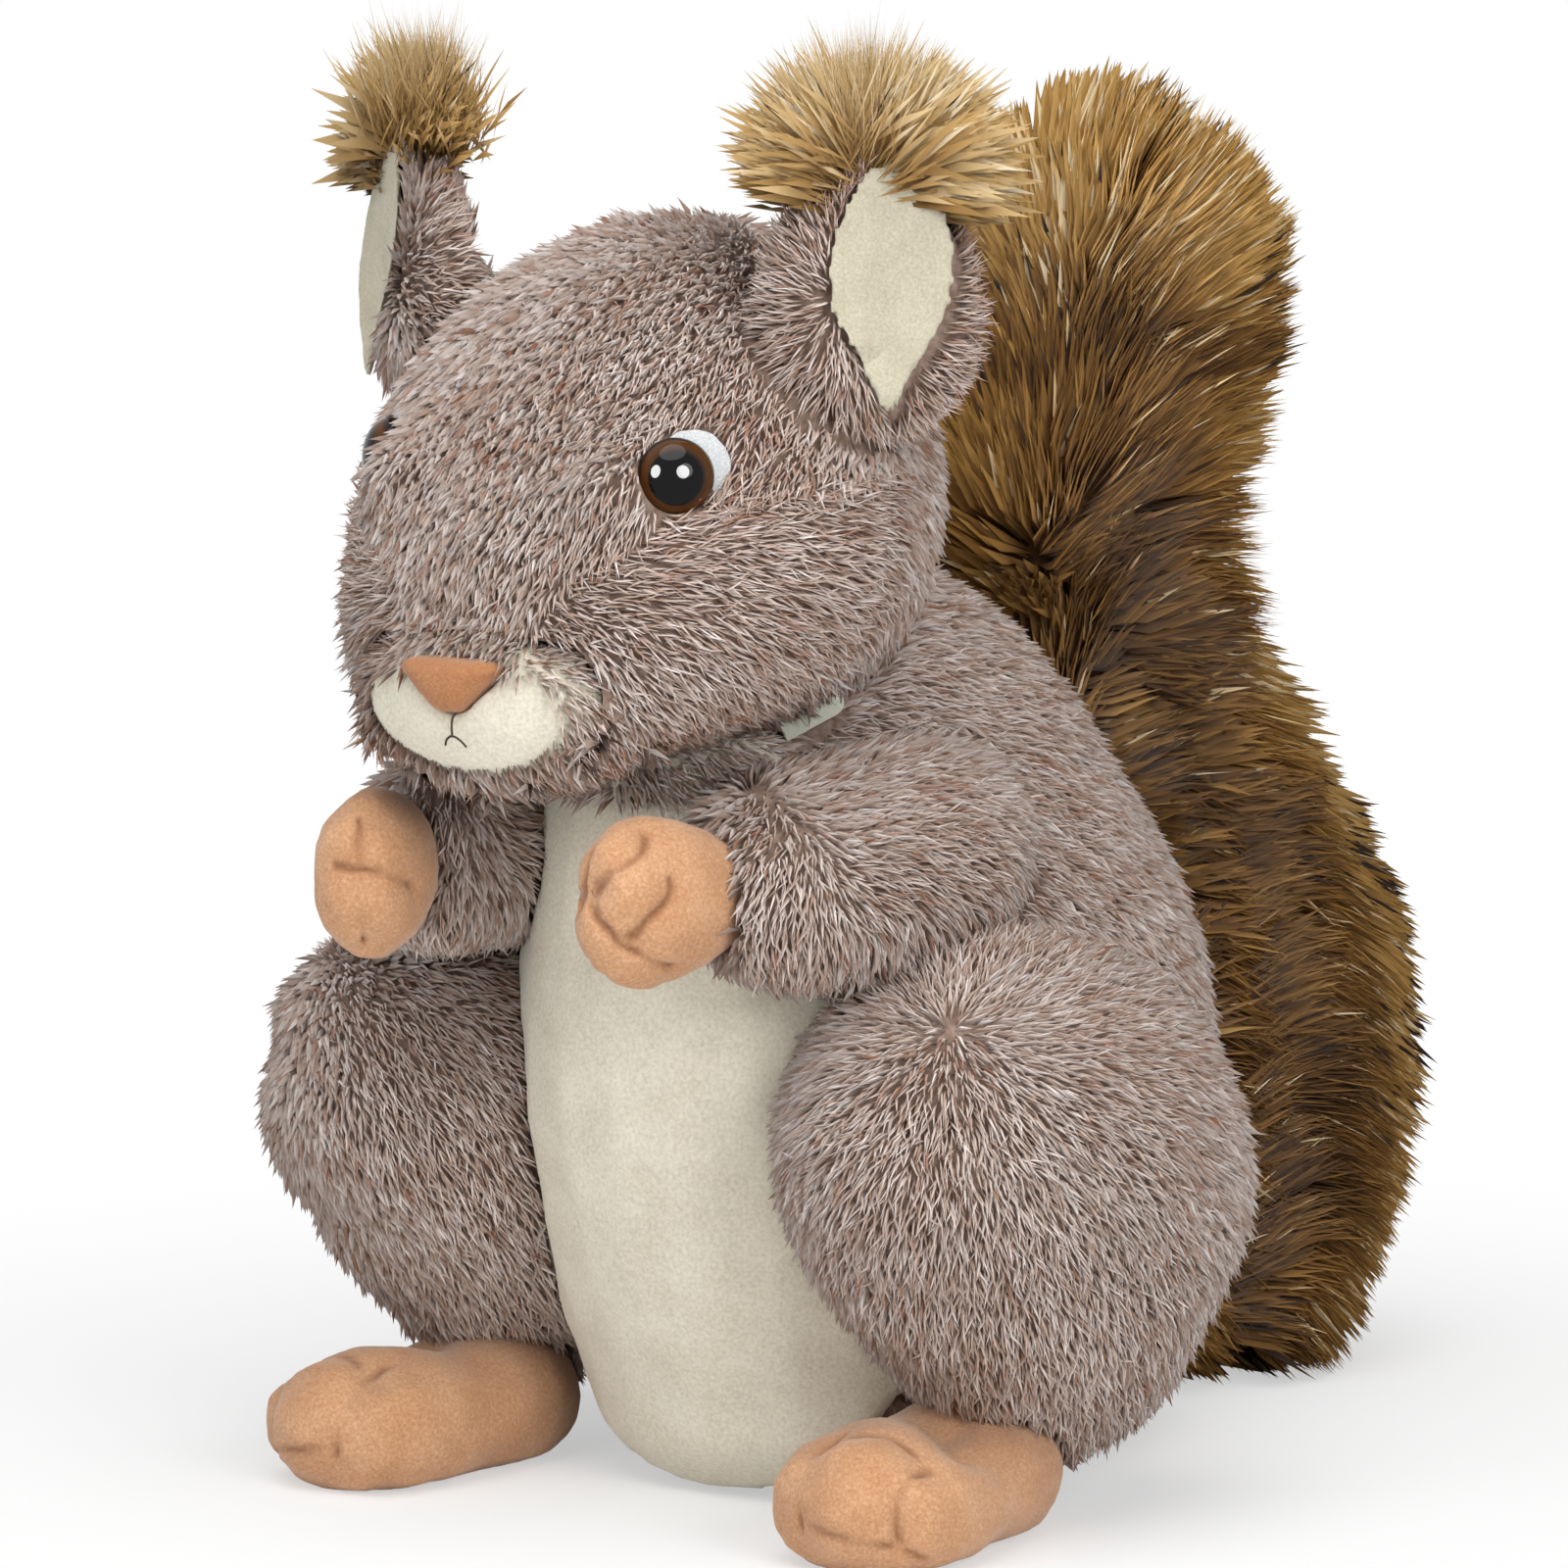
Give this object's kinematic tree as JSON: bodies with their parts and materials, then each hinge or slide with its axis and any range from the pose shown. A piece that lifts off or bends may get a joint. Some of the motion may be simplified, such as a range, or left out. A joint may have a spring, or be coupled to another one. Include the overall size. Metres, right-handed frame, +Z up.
{
  "type": "plush squirrel",
  "caption": "Stuffed plush squirrel that sits up, hands before its chest, with tufted ears, plastic eyes and a thick tail that stands up behind its back.",
  "frame": {"origin": "middle of the flat seat, on the face that the toy sits on", "axes": "+Z up, the toy faces -Y, and its own left side is +X"},
  "size_m": [0.285, 0.4218, 0.3916],
  "materials": {
    "brown_fur": "grey-brown plush fur with pale tips",
    "cream_plush": "short cream plush",
    "apricot_plush": "short apricot plush",
    "tuft_hair": "long tan pile with dark tips",
    "tail_hair": "long golden-brown pile with pale and dark tips",
    "eye_plastic": "polished, brown iris round a black pupil",
    "white_felt": "pale grey felt",
    "nylon": "moulded nylon",
    "dark_thread": "twisted brown thread",
    "label_cloth": "plain woven label cloth"
  },
  "bodies": {
    "root": {"torso": "brown_fur", "head": "brown_fur", "ear_left": "brown_fur", "ear_right": "brown_fur", "leg_left": "brown_fur", "leg_right": "brown_fur", "arm_left": "brown_fur", "arm_right": "brown_fur", "belly_panel": "cream_plush", "muzzle": "cream_plush", "ear_lining_left": "cream_plush", "ear_lining_right": "cream_plush", "nose": "apricot_plush", "hand_left": "apricot_plush", "hand_right": "apricot_plush", "foot_left": "apricot_plush", "foot_right": "apricot_plush", "ear_tuft_left": "tuft_hair", "ear_tuft_right": "tuft_hair", "tail": "tail_hair", "eye_left": "eye_plastic", "eye_right": "eye_plastic", "eye_felt_left": "white_felt", "eye_felt_right": "white_felt", "eye_washer_left": "nylon", "eye_washer_right": "nylon", "mouth_stitch_down": "dark_thread", "mouth_stitch_across": "dark_thread", "neck_label": "label_cloth"}
  },
  "joints": []
}
